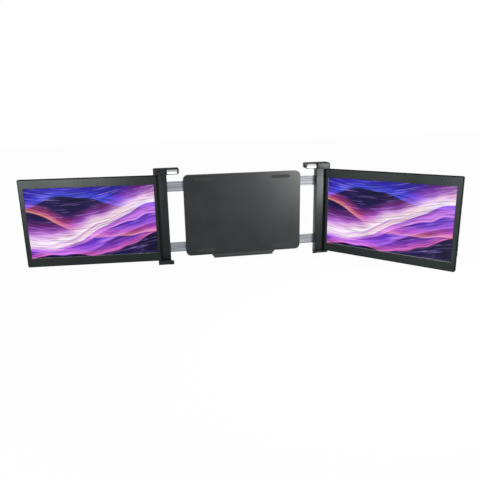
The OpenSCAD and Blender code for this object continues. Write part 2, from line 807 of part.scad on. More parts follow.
module button(side, i) color(plastic_light) on_screen(side) translate([x_out, 0, button_z[i]])
    rotate([0, -90, 0]) {
        translate([0, 0, -button_proud]) linear_extrude(button_proud + button_back)
            stadium(button_len, button_w);
        translate([0, 0, button_back - button_flange]) linear_extrude(button_flange)
            stadium(button_len + button_flange, button_w + button_flange);
        cylinder(r = plunger_r, h = button_back + stem_len);
    }

module power_button(side) button(side, 2);
module plus_button(side) button(side, 1);
module minus_button(side) button(side, 0);

// Side-acting switches on the board, one behind each button
module switches(side) color("#d9d9d6") on_screen(side)
    for (z = button_z) {
        translate([x_out - switch_front - switch_side[0], -switch_side[1], z - switch_side[2] / 2])
            cube([switch_side[0], board_y + switch_side[1], switch_side[2]]);
        translate([x_out - switch_front, 0, z]) rotate([0, 90, 0])
            cylinder(r = plunger_r, h = plunger_len);
    }

module hinge_barrels(side) color(steel) on_screen(side)
    for (z = [z_low + shell_wall + slip, z_top - shell_wall - slip - barrel_len])
        translate([0, 0, z]) difference() {
            cylinder(r = barrel_d / 2, h = barrel_len);
            translate([0, 0, -cut]) cylinder(r = pin_r + fit, h = barrel_len + 2 * cut);
        }

module screen_screws(side) color(steel) on_screen(side)
    for (p = screen_screw_at) translate([p[0], half_t, p[1]]) screw(screen_screw);

center_front_cover();
center_rear_cover();
arm_guides();
friction_pads();
lid_pads();
center_screws();
stand_pins();
stand();
stand_foot();
for (side = ["left", "right"]) {
    upper_arm(side);
    lower_arm(side);
    pillar(side);
    hinge_housing(side);
    hook(side);
    hook_plate(side);
    hook_liner(side);
    foot(side);
    foot_pad(side);
    hinge_pins(side);
    arm_screws(side);
    bezel(side);
    back_cover(side);
    display(side);
    lcd_module(side);
    driver_board(side);
    ports(side);
    switches(side);
    hinge_barrels(side);
    screen_screws(side);
    power_button(side);
    plus_button(side);
    minus_button(side);
}
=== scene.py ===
# %% [markdown]
# # A laptop screen extender, dressed for a studio render
# The solids arrive finished from the CAD model: a centre body, two sliding arms, two folding
# screens and a stand. This script gives them their finishes, softens the edges that catch the
# light, lights them and sets the camera. Nothing is moved: each piece keeps its place in metres.

# %% Load the solids
import json
import math

import bmesh
import bpy
from mathutils import Matrix, Vector


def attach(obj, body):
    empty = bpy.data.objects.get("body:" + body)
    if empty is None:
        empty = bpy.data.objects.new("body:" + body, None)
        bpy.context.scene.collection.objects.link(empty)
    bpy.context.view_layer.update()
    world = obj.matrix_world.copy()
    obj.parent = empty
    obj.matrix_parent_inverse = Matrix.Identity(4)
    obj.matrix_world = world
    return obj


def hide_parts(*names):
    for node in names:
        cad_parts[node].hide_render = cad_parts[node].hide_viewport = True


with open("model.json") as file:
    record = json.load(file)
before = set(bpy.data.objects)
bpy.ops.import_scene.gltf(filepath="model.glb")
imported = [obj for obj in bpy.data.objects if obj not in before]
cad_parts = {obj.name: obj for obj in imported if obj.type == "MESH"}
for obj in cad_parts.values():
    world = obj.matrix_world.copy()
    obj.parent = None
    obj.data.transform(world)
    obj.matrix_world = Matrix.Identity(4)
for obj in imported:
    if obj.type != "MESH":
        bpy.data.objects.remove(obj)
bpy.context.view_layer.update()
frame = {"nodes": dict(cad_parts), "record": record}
record = frame["record"]
slot_of = {part["node"]: part["material_slot"] for part in record["subparts"]}
body_of = {node: body for body, nodes in record["behaviour"]["bodies"].items() for node in nodes}

# %% [markdown]
# ## Helpers
# A product designer names a colour as an sRGB hex value. Shader sockets take linear light, so
# one function turns the one into the other. One more function adds a shader node, sets its
# fields and joins its sockets, which keeps each material short enough to read at a glance.

# %% Colour and node helpers
MM = 0.001


def linear(hex_colour):
    """sRGB hex, such as "#2a2d2f", to the linear colour that a socket takes."""
    values = [int(hex_colour[i:i + 2], 16) / 255 for i in (1, 3, 5)]
    return [c / 12.92 if c <= 0.04045 else ((c + 0.055) / 1.055) ** 2.4 for c in values] + [1.0]


def add_node(tree, kind, sockets=None, stops=(), **fields):
    """Adds a node with its fields and colour stops. Each named socket gets a value or a link."""
    node = tree.nodes.new(kind)
    for name, value in fields.items():
        setattr(node, name, value)
    for i, (position, colour) in enumerate(stops):
        ramp = node.color_ramp.elements
        stop = ramp[i] if i < len(ramp) else ramp.new(position)
        stop.position, stop.color = position, colour
    for name, value in (sockets or {}).items():
        if isinstance(value, bpy.types.NodeSocket):
            tree.links.new(value, node.inputs[name])
        else:
            node.inputs[name].default_value = value
    return node


def new_finish(name):
    """A material with nothing in it yet, and its node tree."""
    finish = bpy.data.materials.new(name)
    finish.use_nodes = True
    finish.node_tree.nodes.clear()
    print("finish:", name)
    return finish, finish.node_tree


WHITE = linear("#ffffff")
print("the casing's black in linear light:", [round(c, 4) for c in linear("#121415")[:3]])

# %% [markdown]
# ## The camera
# The camera stands a little left of the middle and a little above the screens, with a lens
# slightly shorter than its sensor is wide. It is rolled by just over one degree, so the row of
# screens leans a touch in the frame, and a small shift centres the row. A constraint could aim
# it, but it would leave the roll out, so the three directions of the camera are worked out here.

# %% Camera
camera_place = Vector((-0.20365, -1.09657, 0.12459))
camera_aim = Vector((-0.02119, 0.0, -0.16238))
camera_roll = math.radians(-1.242)
sensor_mm, focal_mm = 36, 34.817
shift_right, shift_up = 0.00808, -0.01304
nearest_seen = 0.01

forward = (camera_aim - camera_place).normalized()
level_right = forward.cross(Vector((0, 0, 1))).normalized()
level_up = level_right.cross(forward)
right = math.cos(camera_roll) * level_right + math.sin(camera_roll) * level_up
up = -math.sin(camera_roll) * level_right + math.cos(camera_roll) * level_up

lens = bpy.data.cameras.new("studio_camera")
lens.sensor_width, lens.lens = sensor_mm, focal_mm
lens.shift_x, lens.shift_y = shift_right, shift_up
lens.clip_start = nearest_seen
camera = bpy.data.objects.new("studio_camera", lens)
camera.matrix_world = Matrix.Translation(camera_place) @ Matrix(
    (right, up, -forward)).transposed().to_4x4()
bpy.context.scene.collection.objects.link(camera)
bpy.context.scene.camera = camera
print("camera stands", round(camera_place.length, 3), "m from the lid seat")

# %% [markdown]
# ## Moulded plastic
# The casings are ABS blended with polycarbonate. The mould is etched by sparks, which leaves a
# fine even grain that scatters light: black plastic then reads as soft charcoal, and a softbox
# shows in it as a broad glow with no edge. ABS has an IOR of about 1.54. The grain of such a
# mould is about 0.1 mm, too fine to show here, so it is drawn at about 1 mm. Faint clouds 60 mm
# wide in colour and gloss stand for the flow of the plastic in the mould. Displacing the mesh
# could make the grain too, but it would take millions of faces, and a bump looks the same.


# %% A skin with grain
def grained_skin(name, dark, light, roughness, gloss, grain_mm, depth_mm,
                 mirror_tint="#ffffff"):
    """A matt skin between two close colours, with grain in its relief and clouds in its gloss."""
    cloud_mm, cloud_low, cloud_high, gloss_swing = 60, 0.3, 0.7, 0.03
    finish, tree = new_finish(name)
    place = add_node(tree, "ShaderNodeTexCoord")
    clouds = add_node(tree, "ShaderNodeTexNoise", {
        "Vector": place.outputs["Object"], "Scale": 1 / (cloud_mm * MM), "Detail": 3.0,
        "Roughness": 0.55})
    tint = add_node(tree, "ShaderNodeValToRGB", {"Fac": clouds.outputs["Fac"]},
                    stops=[(cloud_low, linear(dark)), (cloud_high, linear(light))])
    gloss_spread = add_node(tree, "ShaderNodeMapRange", {
        "Value": clouds.outputs["Fac"], "From Min": cloud_low, "From Max": cloud_high,
        "To Min": roughness - gloss_swing, "To Max": roughness + gloss_swing})
    grain = add_node(tree, "ShaderNodeTexNoise", {
        "Vector": place.outputs["Object"], "Scale": 1 / (grain_mm * MM), "Detail": 2.0,
        "Roughness": 0.6})
    relief = add_node(tree, "ShaderNodeBump", {
        "Height": grain.outputs["Fac"], "Distance": depth_mm * MM, "Strength": 0.6})
    skin = add_node(tree, "ShaderNodeBsdfPrincipled", {
        "Base Color": tint.outputs["Color"], "Roughness": gloss_spread.outputs["Result"],
        "IOR": 1.54, "Specular IOR Level": gloss, "Specular Tint": linear(mirror_tint),
        "Normal": relief.outputs["Normal"]})
    add_node(tree, "ShaderNodeOutputMaterial", {"Surface": skin.outputs["BSDF"]})
    return finish


# %% [markdown]
# ## The plastics of this object
# The bezels have the finest texture, so they are the glossiest of the casings. Their black leans
# a little to green and that of the housings to blue, which shows only in what they mirror. The
# buttons are polished, the white switch bodies are moulded nylon, and the guides are nylon milled
# from bar. The IOR of nylon is close to that of ABS, so one function serves them all.

# %% Moulded plastic finishes
casing_abs = grained_skin("spark_textured_ABS_casing", "#121415", "#181a1b",
                          roughness=0.38, gloss=0.2, grain_mm=1.0, depth_mm=0.04)
bezel_abs = grained_skin("spark_textured_ABS_bezel", "#0b100f", "#111716",
                         roughness=0.27, gloss=0.155, grain_mm=0.9, depth_mm=0.012,
                         mirror_tint="#f7fefe")
housing_abs = grained_skin("spark_textured_ABS_housing", "#0c0f11", "#111416",
                           roughness=0.36, gloss=0.165, grain_mm=0.9, depth_mm=0.02,
                           mirror_tint="#f8fdff")
button_abs = grained_skin("polished_ABS_button", "#141516", "#17191a",
                          roughness=0.25, gloss=0.5, grain_mm=2.0, depth_mm=0.01)
switch_nylon = grained_skin("moulded_white_nylon_switch", "#cfcfc9", "#dcdcd6",
                            roughness=0.45, gloss=0.5, grain_mm=1.5, depth_mm=0.02)
guide_nylon = grained_skin("milled_natural_nylon_guide", "#cfc9ba", "#ddd8cb",
                           roughness=0.5, gloss=0.5, grain_mm=2.5, depth_mm=0.05)

# %% [markdown]
# ## Paint and powder coat
# The black paint is a polyurethane full of fine silica. It is the deepest black here, because
# it mirrors almost nothing. It is painted shade: it darkens the tops of the housings and hooks
# and the rims of the screens. The stand is folded sheet under a powder coat, which flows out
# into a soft orange-peel skin with waves of 1 to 2 mm. Both are matt resin with a fine relief,
# and their IOR is within a few hundredths of that of ABS, so they take the same function with
# other numbers.

# %% Paint and powder coat
# Black paint laid on as painted shade, on the tops and on the rims of the screens
black_shade_paint = grained_skin("black_paint_for_painted_shade", "#060707", "#0a0b0b",
                                roughness=0.5, gloss=0.03, grain_mm=0.9, depth_mm=0.01)
stand_coat = grained_skin("powder_coated_steel_stand", "#1d1f21", "#222426",
                          roughness=0.45, gloss=0.3, grain_mm=1.6, depth_mm=0.06)

# %% [markdown]
# ## Rubber
# The pads and liners are moulded silicone rubber. Carbon black soaks up light, and the moulded
# skin keeps only a wide, weak sheen. That sheen is what tells rubber from plastic, so it gets a
# recipe of its own, with an IOR of about 1.52. The pores of the skin are about 0.1 mm across and
# are drawn at 0.8 mm, so that they show.

# %% Rubber
pad_rubber, tree = new_finish("moulded_silicone_rubber_pad")
bloom_mm, pore_mm, pore_depth_mm = 9, 0.8, 0.04
place = add_node(tree, "ShaderNodeTexCoord")
bloom = add_node(tree, "ShaderNodeTexNoise", {
    "Vector": place.outputs["Object"], "Scale": 1 / (bloom_mm * MM), "Detail": 4.0})
tint = add_node(tree, "ShaderNodeValToRGB", {"Fac": bloom.outputs["Fac"]},
                stops=[(0.35, linear("#111212")), (0.75, linear("#1a1b1b"))])
pores = add_node(tree, "ShaderNodeTexNoise", {
    "Vector": place.outputs["Object"], "Scale": 1 / (pore_mm * MM), "Detail": 2.0})
relief = add_node(tree, "ShaderNodeBump", {
    "Height": pores.outputs["Fac"], "Distance": pore_depth_mm * MM, "Strength": 0.5})
rubber = add_node(tree, "ShaderNodeBsdfPrincipled", {
    "Base Color": tint.outputs["Color"], "Roughness": 0.78, "IOR": 1.52,
    "Specular IOR Level": 0.35, "Sheen Weight": 0.15, "Sheen Roughness": 0.4,
    "Normal": relief.outputs["Normal"]})
add_node(tree, "ShaderNodeOutputMaterial", {"Surface": rubber.outputs["BSDF"]})

# %% [markdown]
# ## Felt
# The friction pads are pressed wool felt. Loose fibres lie every way, so the surface has no
# shine and a soft halo at grazing angles. A fibre is about 0.02 mm thick. What is drawn instead
# is the light and dark flecks that fibres make together, 0.5 mm across. Hair strands could make
# real fibres, but the pads are small and sit inside the centre body, so a bump does.

# %% Felt
pad_felt, tree = new_finish("pressed_wool_felt_pad")
fleck_mm, fibre_depth_mm = 0.5, 0.2
place = add_node(tree, "ShaderNodeTexCoord")
fibres = add_node(tree, "ShaderNodeTexNoise", {
    "Vector": place.outputs["Object"], "Scale": 1 / (fleck_mm * MM), "Detail": 6.0,
    "Roughness": 0.75})
tint = add_node(tree, "ShaderNodeValToRGB", {"Fac": fibres.outputs["Fac"]},
                stops=[(0.35, linear("#3c3b38")), (0.65, linear("#6d6b66"))])
relief = add_node(tree, "ShaderNodeBump", {
    "Height": fibres.outputs["Fac"], "Distance": fibre_depth_mm * MM, "Strength": 0.8})
felt = add_node(tree, "ShaderNodeBsdfPrincipled", {
    "Base Color": tint.outputs["Color"], "Roughness": 0.95, "Sheen Weight": 0.4,
    "Sheen Roughness": 0.5, "Normal": relief.outputs["Normal"]})
add_node(tree, "ShaderNodeOutputMaterial", {"Surface": felt.outputs["BSDF"]})

# %% [markdown]
# ## Metals
# The arms are cold-rolled stainless steel brushed along their length with a coarse belt, which
# leaves them dull. Real scratches lie about 0.2 mm apart. On the arms they are drawn 1.6 mm
# apart, so that they show, and the noise is stretched 60 times along x, the way the belt ran.
# The Anisotropic socket could stretch the highlights alone, but then no scratch would be seen.
# The turned pins and screws, the port shells and the pressed tray use the same recipe with more
# gloss. Their marks are short, and drawn 0.6 and 2.5 mm apart. A metal keeps the default IOR.


# %% Metal finishes
def brushed_metal(name, dark, light, roughness, line_mm, stretch, relief_mm):
    """Metal with fine scratches along x: line_mm apart and stretched so many times as long."""
    polish_swing = 0.08
    finish, tree = new_finish(name)
    place = add_node(tree, "ShaderNodeTexCoord")
    drawn_out = add_node(tree, "ShaderNodeMapping", {
        "Vector": place.outputs["Object"], "Scale": (1 / stretch, 1, 1)})
    scratches = add_node(tree, "ShaderNodeTexNoise", {
        "Vector": drawn_out.outputs["Vector"], "Scale": 1 / (line_mm * MM), "Detail": 3.0,
        "Roughness": 0.6})
    tint = add_node(tree, "ShaderNodeValToRGB", {"Fac": scratches.outputs["Fac"]},
                    stops=[(0.35, linear(dark)), (0.65, linear(light))])
    polish = add_node(tree, "ShaderNodeMapRange", {
        "Value": scratches.outputs["Fac"], "To Min": roughness + polish_swing,
        "To Max": roughness - polish_swing})
    relief = add_node(tree, "ShaderNodeBump", {
        "Height": scratches.outputs["Fac"], "Distance": relief_mm * MM, "Strength": 0.4})
    metal = add_node(tree, "ShaderNodeBsdfPrincipled", {
        "Base Color": tint.outputs["Color"], "Metallic": 1.0,
        "Roughness": polish.outputs["Result"], "Normal": relief.outputs["Normal"]})
    add_node(tree, "ShaderNodeOutputMaterial", {"Surface": metal.outputs["BSDF"]})
    return finish


arm_steel = brushed_metal("brushed_stainless_steel_arm", "#595c61", "#85888d",
                          roughness=0.64, line_mm=1.6, stretch=60, relief_mm=0.01)
turned_steel = brushed_metal("turned_steel_fastener", "#8c8f93", "#a9acb0",
                             roughness=0.28, line_mm=0.6, stretch=4, relief_mm=0.01)
tray_steel = brushed_metal("zinc_plated_steel_tray", "#9da1a3", "#b4b8ba",
                           roughness=0.36, line_mm=2.5, stretch=3, relief_mm=0.02)

# %% [markdown]
# ## Pale lacquer
# The small plate let into each hook is aluminium under a satin lacquer. Its colour is painted
# shade: white at the lower edge, it turns grey towards the top. A metallic shader could make the
# plate too, but it would take its brightness from what it mirrors. Lacquer is a resin with an
# IOR of about 1.5, so here the brightness comes from the colour. The faint pitch of the metal
# under it is drawn at 0.8 mm.

# %% Lacquered plate
plate_lacquer, tree = new_finish("satin_lacquered_aluminium_plate_painted_shade")
pitch_mm, pitch_depth_mm, pitch_share = 0.8, 0.01, 0.1
place = add_node(tree, "ShaderNodeTexCoord")
rise = add_node(tree, "ShaderNodeSeparateXYZ", {"Vector": place.outputs["Generated"]})
pitch = add_node(tree, "ShaderNodeTexNoise", {
    "Vector": place.outputs["Object"], "Scale": 1 / (pitch_mm * MM), "Detail": 3.0})
level = add_node(tree, "ShaderNodeMath", {
    0: pitch.outputs["Fac"], 1: pitch_share, 2: rise.outputs["Z"]}, operation="MULTIPLY_ADD")
# The stops paint shade on the plate: pale at its foot, grey towards its top
tint = add_node(tree, "ShaderNodeValToRGB", {"Fac": level.outputs["Value"]},
                stops=[(0.08, linear("#f6f6f6")), (0.34, linear("#c6c6c7")),
                       (0.6, linear("#8b8b8d")), (1.0, linear("#848486"))])
relief = add_node(tree, "ShaderNodeBump", {
    "Height": pitch.outputs["Fac"], "Distance": pitch_depth_mm * MM, "Strength": 0.4})
lacquer = add_node(tree, "ShaderNodeBsdfPrincipled", {
    "Base Color": tint.outputs["Color"], "Roughness": 0.4, "IOR": 1.5,
    "Specular IOR Level": 0.1, "Normal": relief.outputs["Normal"]})
add_node(tree, "ShaderNodeOutputMaterial", {"Surface": lacquer.outputs["BSDF"]})

# %% [markdown]
# ## Circuit board
# The driver board is glass-fibre laminate under green solder resist. Copper tracks lie a few
# tenths of a millimetre apart under the resist. They are drawn as courses 2 mm high, slightly
# lighter and slightly raised, which is coarse enough to show. Tracks could be modelled one by
# one, but the board sits inside the casing, so the Brick texture with its even courses does.

# %% Circuit board
board_resist, tree = new_finish("solder_resist_on_glass_fibre_board")
pattern_mm, track_depth_mm = 8, 0.03
place = add_node(tree, "ShaderNodeTexCoord")
tracks = add_node(tree, "ShaderNodeTexBrick", {
    "Vector": place.outputs["Object"], "Color1": (1, 1, 1, 1), "Color2": (0.6, 0.6, 0.6, 1),
    "Mortar": (0, 0, 0, 1), "Scale": 1 / (pattern_mm * MM), "Mortar Size": 0.06})
tint = add_node(tree, "ShaderNodeValToRGB", {"Fac": tracks.outputs["Color"]},
                stops=[(0.1, linear("#2f7d4f")), (0.9, linear("#15502e"))])
relief = add_node(tree, "ShaderNodeBump", {
    "Height": tracks.outputs["Fac"], "Distance": track_depth_mm * MM, "Strength": 0.5})
board = add_node(tree, "ShaderNodeBsdfPrincipled", {
    "Base Color": tint.outputs["Color"], "Roughness": 0.28, "IOR": 1.5,
    "Normal": relief.outputs["Normal"]})
add_node(tree, "ShaderNodeOutputMaterial", {"Surface": board.outputs["BSDF"]})

# %% [markdown]
# ## The lit panel: its ground
# Each screen shows a desktop picture: silky ribbons in indigo, violet, magenta and peach that
# cross the panel from side to side. An image file could be laid on the panel. Arithmetic alone
# can paint a picture like this too, and it stays sharp at any distance. It starts with a dark
# ground that drifts from near black to indigo. Distances are measured in picture heights, both
# across and up, so nothing is stretched.

# %% Ground of the desktop picture
panel_glow, tree = new_finish("lit_panel_under_satin_film")
picture_w_mm, picture_h_mm = 293.8, 165.2
place = add_node(tree, "ShaderNodeTexCoord")
split = add_node(tree, "ShaderNodeSeparateXYZ", {"Vector": place.outputs["Generated"]})
widened = add_node(tree, "ShaderNodeMath", {
    0: split.outputs["X"], 1: picture_w_mm / picture_h_mm}, operation="MULTIPLY")
across, height = widened.outputs["Value"], split.outputs["Z"]
flat_place = add_node(tree, "ShaderNodeCombineXYZ", {"X": across, "Y": height})
drifting = add_node(tree, "ShaderNodeTexNoise", {
    "Vector": flat_place.outputs["Vector"], "Scale": 1.3, "Detail": 2.0})
drift = drifting.outputs["Fac"]
ground = add_node(tree, "ShaderNodeValToRGB", {"Fac": drift},
                  stops=[(0.3, linear("#080322")), (0.55, linear("#130840")),
                         (0.75, linear("#200a58"))])
print("picture is", round(picture_w_mm / picture_h_mm, 3), "times as wide as high")

# %% [markdown]
# ## The lit panel: one ribbon
# Each ribbon has a wavy edge, which also wanders with the drift of the ground. Just above that
# edge its light is strong and then fades, and a noise drawn out along the ribbon gives it
# threads, as in silk. The layers are added with the Screen mix, which acts like light on light.
# The Wave texture could draw ribbons too, but all of them would be alike.


# %% Paint one ribbon
def add_ribbon(under, layer, level, slope, swing, waves, phase, width, threads, colours):
    """Lays one ribbon over the picture and returns the new picture."""
    wander, fray, thread_length, layer_gap = 0.3, 0.16, 1.1, 3.7
    turn = add_node(tree, "ShaderNodeMath", {0: across, 1: waves, 2: phase},
                    operation="MULTIPLY_ADD")
    wave = add_node(tree, "ShaderNodeMath", {0: turn.outputs["Value"]}, operation="SINE")
    rise = add_node(tree, "ShaderNodeMath", {0: across, 1: slope, 2: level},
                    operation="MULTIPLY_ADD")
    edge = add_node(tree, "ShaderNodeMath", {
        0: wave.outputs["Value"], 1: swing, 2: rise.outputs["Value"]}, operation="MULTIPLY_ADD")
    wandering = add_node(tree, "ShaderNodeMath", {0: drift, 1: wander, 2: edge.outputs["Value"]},
                         operation="MULTIPLY_ADD")
    above = add_node(tree, "ShaderNodeMath", {0: height, 1: wandering.outputs["Value"]},
                     operation="SUBTRACT")
    depth = add_node(tree, "ShaderNodeMath", {0: above.outputs["Value"], 1: width},
                     operation="DIVIDE")
    along = add_node(tree, "ShaderNodeCombineXYZ", {
        "X": across, "Y": depth.outputs["Value"], "Z": float(layer)})
    drawn_out = add_node(tree, "ShaderNodeMapping", {
        "Vector": along.outputs["Vector"], "Scale": (thread_length, threads, layer_gap)})
    silk = add_node(tree, "ShaderNodeTexNoise", {
        "Vector": drawn_out.outputs["Vector"], "Scale": 1.0, "Detail": 4.0, "Roughness": 0.6})
    frayed = add_node(tree, "ShaderNodeMath", {
        0: silk.outputs["Fac"], 1: fray, 2: depth.outputs["Value"]}, operation="MULTIPLY_ADD")
    bright, middle, dim = (linear(colour) for colour in colours)
    light = add_node(tree, "ShaderNodeValToRGB", {"Fac": frayed.outputs["Value"]},
                     stops=[(0.06, bright[:3] + [0.0]), (0.09, bright), (0.3, middle),
                            (0.68, dim[:3] + [0.45]), (1.0, dim[:3] + [0.0])])
    shimmer = add_node(tree, "ShaderNodeMapRange", {
        "Value": silk.outputs["Fac"], "From Min": 0.34, "From Max": 0.6, "To Min": 0.22,
        "To Max": 1.0})
    share = add_node(tree, "ShaderNodeMath", {
        0: light.outputs["Alpha"], 1: shimmer.outputs["Result"]}, operation="MULTIPLY")
    layered = add_node(tree, "ShaderNodeMix", {
        "Factor": share.outputs["Value"], "A": under, "B": light.outputs["Color"]},
        data_type="RGBA", blend_type="SCREEN")
    return layered.outputs["Result"]


# %% [markdown]
# ## The lit panel: seven ribbons
# Wide dim ribbons come first and narrow bright ones last, as a painter works from the back to
# the front. A table keeps them apart from the recipe, so one line can be changed by itself.

# %% All ribbons
ribbons = [
    # Level of its edge, slope, wave height, how fast it waves, phase, width, threads, and its
    # colours from the bright edge to where it fades out
    (0.50, 0.10, 0.16, 2.3, 0.4, 0.62, 30, ("#4b58ff", "#2f22c8", "#12083c")),
    (-0.06, 0.16, 0.13, 2.9, 2.6, 0.52, 30, ("#b56dff", "#6a2fdc", "#180848")),
    (0.18, 0.04, 0.20, 2.1, 4.0, 0.58, 34, ("#f09cff", "#ac4be6", "#240a5c")),
    (-0.24, 0.22, 0.12, 3.4, 0.9, 0.46, 32, ("#f070d0", "#8a34d0", "#170746")),
    (0.10, 0.20, 0.15, 2.5, 3.5, 0.42, 34, ("#fff6ea", "#ffc79c", "#b53f9a")),
    (0.40, -0.16, 0.12, 3.1, 1.7, 0.28, 30, ("#ff9a6e", "#cc4a85", "#2c0e5c")),
    (0.22, 0.12, 0.17, 2.4, 3.9, 0.24, 34, ("#ffffff", "#f8d6fb", "#9a54e2")),
]
picture = ground.outputs["Color"]
for layer, ribbon in enumerate(ribbons):
    picture = add_ribbon(picture, layer, *ribbon)
print("ribbons:", len(ribbons))

# %% [markdown]
# ## The lit panel: loose threads
# Pale strands and dark folds follow one long wave over the whole picture and tie the ribbons
# together. One noise drawn out along that wave gives both: its low values darken the picture
# and its high values lighten it, so a strand never lies in a fold.

# %% Loose threads
wave_speed, wave_phase, wave_swing = 1.9, 0.5, 0.13
strand_length, strand_count = 2.3, 46
turn = add_node(tree, "ShaderNodeMath", {0: across, 1: wave_speed, 2: wave_phase},
                operation="MULTIPLY_ADD")
wave = add_node(tree, "ShaderNodeMath", {0: turn.outputs["Value"]}, operation="SINE")
bent = add_node(tree, "ShaderNodeMath", {0: wave.outputs["Value"], 1: wave_swing, 2: height},
                operation="MULTIPLY_ADD")
along = add_node(tree, "ShaderNodeCombineXYZ", {"X": across, "Y": bent.outputs["Value"]})
drawn_out = add_node(tree, "ShaderNodeMapping", {
    "Vector": along.outputs["Vector"], "Scale": (strand_length, strand_count, 1)})
strands = add_node(tree, "ShaderNodeTexNoise", {
    "Vector": drawn_out.outputs["Vector"], "Scale": 1.0, "Detail": 3.0, "Roughness": 0.6})
thread_kinds = [
    # Noise where it starts, noise where it is full, its full share, its colour and its mix
    (0.5, 0.28, 0.75, "#241050", "MULTIPLY"),
    (0.56, 0.74, 0.7, "#b89af6", "SCREEN"),
]
for start, full, most, colour, blend in thread_kinds:
    share = add_node(tree, "ShaderNodeMapRange", {
        "Value": strands.outputs["Fac"], "From Min": start, "From Max": full, "To Min": 0.0,
        "To Max": most})
    layered = add_node(tree, "ShaderNodeMix", {
        "Factor": share.outputs["Result"], "A": picture, "B": linear(colour)},
        data_type="RGBA", blend_type=blend)
    picture = layered.outputs["Result"]
print("kinds of loose thread:", len(thread_kinds))

# %% [markdown]
# ## The lit panel: its film
# The panel glows with the picture, under a satin film with an IOR of 1.5. The film is coated
# against glare, which leaves only a trace of the room in it. An Emission shader alone would
# leave out that trace, so the picture goes into the emission of the Principled shader. A
# strength of 1 shows each colour as it is written.

# %% Panel under its film
panel = add_node(tree, "ShaderNodeBsdfPrincipled", {
    "Base Color": linear("#0d0d10"), "Roughness": 0.3, "IOR": 1.5,
    "Specular IOR Level": 0.02, "Emission Color": picture, "Emission Strength": 1.0})
add_node(tree, "ShaderNodeOutputMaterial", {"Surface": panel.outputs["BSDF"]})
print("nodes in the panel's finish:", len(tree.nodes))

# %% [markdown]
# ## Dress the solids
# The record says which finish each solid takes. Most solids keep their own mesh and only get
# that finish.

# %% Give each solid its finish
finishes = {
    "casing_black": casing_abs, "bezel_black": bezel_abs, "housing_black": housing_abs,
    "stand_black": stand_coat, "arm_steel": arm_steel, "steel": turned_steel,
    "plate_silver": plate_lacquer, "soft_rubber": pad_rubber, "felt": pad_felt,
    "guide_nylon": guide_nylon, "display_glass": panel_glow, "tray_metal": tray_steel,
    "board_green": board_resist, "switch_white": switch_nylon, "button_black": button_abs,
}
for name, solid in frame["nodes"].items():
    solid.data.materials.clear()
    solid.data.materials.append(finishes[slot_of[name]])
print("finishes in use:", len(finishes))

# %% [markdown]
# ## Copies that stand in for solids
# A solid's own mesh is never changed. Where a surface needs more, its mesh is copied and worked
# on, and the copy stands in for the solid on the same body. Shading is smooth on such a copy and
# stops at every edge that is sharper than 40 degrees, so flat faces stay flat.

# %% Shading and stand-ins
SIDES = ("left", "right")
SHARP = math.radians(40)


def shade(mesh):
    """Smooth shading that stops at sharp edges."""
    packed_normals = mesh.attributes.get("custom_normal")
    if packed_normals:
        mesh.attributes.remove(packed_normals)
    mesh.shade_smooth()
    mesh.set_sharp_from_angle(angle=SHARP)


def stand_in(node, mesh, ending):
    """Puts a reworked mesh in the place of a solid, on its body and with its finish slot."""
    piece = bpy.data.objects.new(node + ending, mesh)
    bpy.context.scene.collection.objects.link(piece)
    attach(piece, body_of[node])
    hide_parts(node)
    return piece


print("faces in the solids:", sum(len(solid.data.polygons) for solid in frame["nodes"].values()))

# %% [markdown]
# ## Soft edges
# A moulded edge is never sharp: steel polished by hand leaves a radius of a few tenths of a
# millimetre, and that radius is what draws the bright line round a black part. The Bevel node
# could fake it in the shading, but it would leave the outline hard. So the plainer solids are
# copied, their flat faces are joined back into whole faces, and the long corners get a real
# bevel. A bevel only takes material away, so each copy stays inside its solid. The tops of the
# housings and hooks take the black paint as painted shade, which makes the faces that look up
# darker than the fronts. It is duller and deeper than the ABS, and it is a second material on
# the same mesh.

# %% Round the corners of the plain mouldings
WELD = 1e-6
FLAT = math.radians(1)


def softened(node, radius_mm, shortest_mm=3.0, painted_top=False):
    """A copy of a solid whose long sharp edges are rounded. It stands for that solid."""
    mesh = frame["nodes"][node].data.copy()
    shape = bmesh.new()
    shape.from_mesh(mesh)
    bmesh.ops.remove_doubles(shape, verts=shape.verts, dist=WELD)
    bmesh.ops.dissolve_limit(shape, angle_limit=FLAT, verts=shape.verts, edges=shape.edges)
    sharp = [edge for edge in shape.edges
             if edge.is_manifold and edge.calc_length() > shortest_mm * MM
             and edge.calc_face_angle(0.0) > SHARP]
    bmesh.ops.bevel(shape, geom=sharp, offset=radius_mm * MM, offset_type="OFFSET", segments=3,
                    profile=0.5, affect="EDGES", clamp_overlap=True)
    shape.to_mesh(mesh)
    shape.free()
    shade(mesh)
    # Faces on top take the black paint as painted shade, darker than the fronts
    if painted_top:
        mesh.materials.append(black_shade_paint)
        facing_up = 0.5
        top = max(point.co.z for point in mesh.vertices)
        for face in mesh.polygons:
            if face.normal.z > facing_up and face.center.z > top - radius_mm * MM:
                face.material_index = 1
    return stand_in(node, mesh, "_moulding")


edge_radius_mm = 0.4
top_is_painted = {"hinge_housing": True, "hook": True, "foot": False, "pillar": False}
mouldings = [softened(side + "_" + part, edge_radius_mm, painted_top=painted)
             for side in SIDES for part, painted in top_is_painted.items()]
print("softened mouldings:", len(mouldings))

# %% [markdown]
# ## The ledge with a painted highlight
# Under the picture, the slope of each window is a ledge 0.6 mm deep. Its pale colour is a painted
# highlight for the light that the upward slope catches: a thin light line along the foot of the
# picture. It takes the same function as the bezel's ABS, with a smaller depth of grain.

# %% Plastic with a painted highlight
# A pale colour laid on the ledge as a painted highlight
ledge_highlight_abs = grained_skin("ABS_window_ledge_painted_highlight", "#565b58", "#636865",
                        roughness=0.36, gloss=0.4, grain_mm=0.9, depth_mm=0.004)
